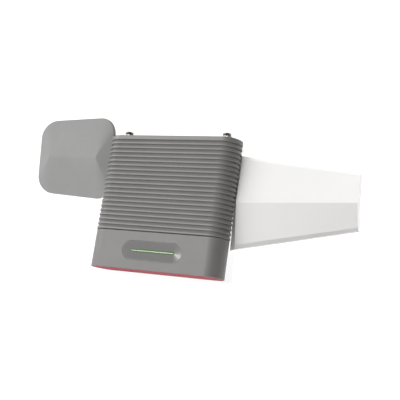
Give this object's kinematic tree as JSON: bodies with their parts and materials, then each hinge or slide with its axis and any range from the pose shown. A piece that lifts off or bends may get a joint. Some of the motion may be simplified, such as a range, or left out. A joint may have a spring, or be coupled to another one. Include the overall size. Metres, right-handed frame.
{
  "type": "cellular signal booster set",
  "caption": "Cellular signal booster set: ribbed amplifier with two coaxial ports and a status light, tilting indoor panel antenna and tapered outdoor antenna.",
  "frame": {"origin": "centre of the amplifier's flat back, in the plane that all three units rest on", "axes": "+X along the amplifier's width towards the outdoor antenna, +Y towards its cable ports, +Z out of its front"},
  "size_m": [0.393, 0.1749, 0.0347],
  "materials": {
    "amplifier_grey": "fine moulded texture, mid warm grey",
    "accent_red": "smooth muted red",
    "status_green": "translucent light guide, lit green",
    "circuit_board": "green solder mask",
    "white_plastic": "natural white insulating plastic",
    "black_plastic": "black moulded plastic",
    "aluminium": "as rolled or cast",
    "tin_plate": "tin plated sheet",
    "ceramic": "unglazed",
    "laminate": "glass fibre laminate",
    "thermal_pad": "soft silicone pad",
    "nickel": "nickel plated brass",
    "steel": "zinc plated",
    "panel_grey": "fine moulded texture, mid grey",
    "off_white": "fine moulded texture, off-white",
    "radome_white": "satin weather-resistant white",
    "copper": "bare copper"
  },
  "bodies": {
    "amplifier": {"band_filter": "ceramic", "bottom_cap": "accent_red", "chassis_plate": "aluminium", "downlink_amplifier": "black_plastic", "downlink_shield_can": "tin_plate", "downlink_thermal_pad": "thermal_pad", "filter_capacitor": "black_plastic", "front_heat_spreader": "aluminium", "inside_port_body": "nickel", "inside_port_insulator": "white_plastic", "inside_port_nut": "nickel", "inside_port_washer": "nickel", "led_board": "circuit_board", "led_link_header": "black_plastic", "led_strip": "white_plastic", "light_bar": "status_green", "lower_band": "amplifier_grey", "main_board": "circuit_board", "outside_port_body": "nickel", "outside_port_insulator": "white_plastic", "outside_port_nut": "nickel", "outside_port_washer": "nickel", "power_jack": "black_plastic", "power_shield_can": "tin_plate", "rear_panel": "amplifier_grey", "rear_screw_1": "steel", "rear_screw_2": "steel", "rear_screw_3": "steel", "rear_screw_4": "steel", "ribbed_sleeve": "amplifier_grey", "status_bezel": "amplifier_grey", "top_cap": "accent_red", "uplink_amplifier": "black_plastic", "uplink_shield_can": "tin_plate", "uplink_thermal_pad": "thermal_pad"},
    "panel_bracket": {"wall_bracket": "off_white", "hinge_pin": "steel", "hinge_clip_left": "steel", "hinge_clip_right": "steel"},
    "indoor_antenna": {"panel_back_cover": "off_white", "panel_front_cover": "panel_grey", "panel_patch": "copper", "panel_patch_spacer": "white_plastic", "panel_port": "nickel", "panel_port_nut": "nickel", "panel_reflector": "aluminium", "panel_screw_1": "steel", "panel_screw_2": "steel"},
    "outdoor_antenna": {"donor_antenna_board": "laminate", "donor_back_plate": "off_white", "donor_dipole_elements": "copper", "donor_feed_line": "copper", "donor_port": "nickel", "donor_port_nut": "nickel", "donor_radome": "radome_white", "donor_screw_1": "steel", "donor_screw_2": "steel", "donor_screw_3": "steel", "donor_screw_4": "steel", "donor_vent_plug": "black_plastic"}
  },
  "joints": [
    {"name": "panel_set_apart", "type": "slide", "parent": "amplifier", "child": "panel_bracket", "axis": [-1, 0, 0], "range_m": [0, 0.12]},
    {"name": "panel_tilt", "type": "hinge", "parent": "panel_bracket", "child": "indoor_antenna", "pos_m": [-0.1313, 0.05314, 0.01027], "axis": [1, 0, 0], "range_deg": [-18, 0]},
    {"name": "outdoor_set_apart", "type": "slide", "parent": "amplifier", "child": "outdoor_antenna", "axis": [1, 0, 0], "range_m": [0, 0.12]}
  ]
}
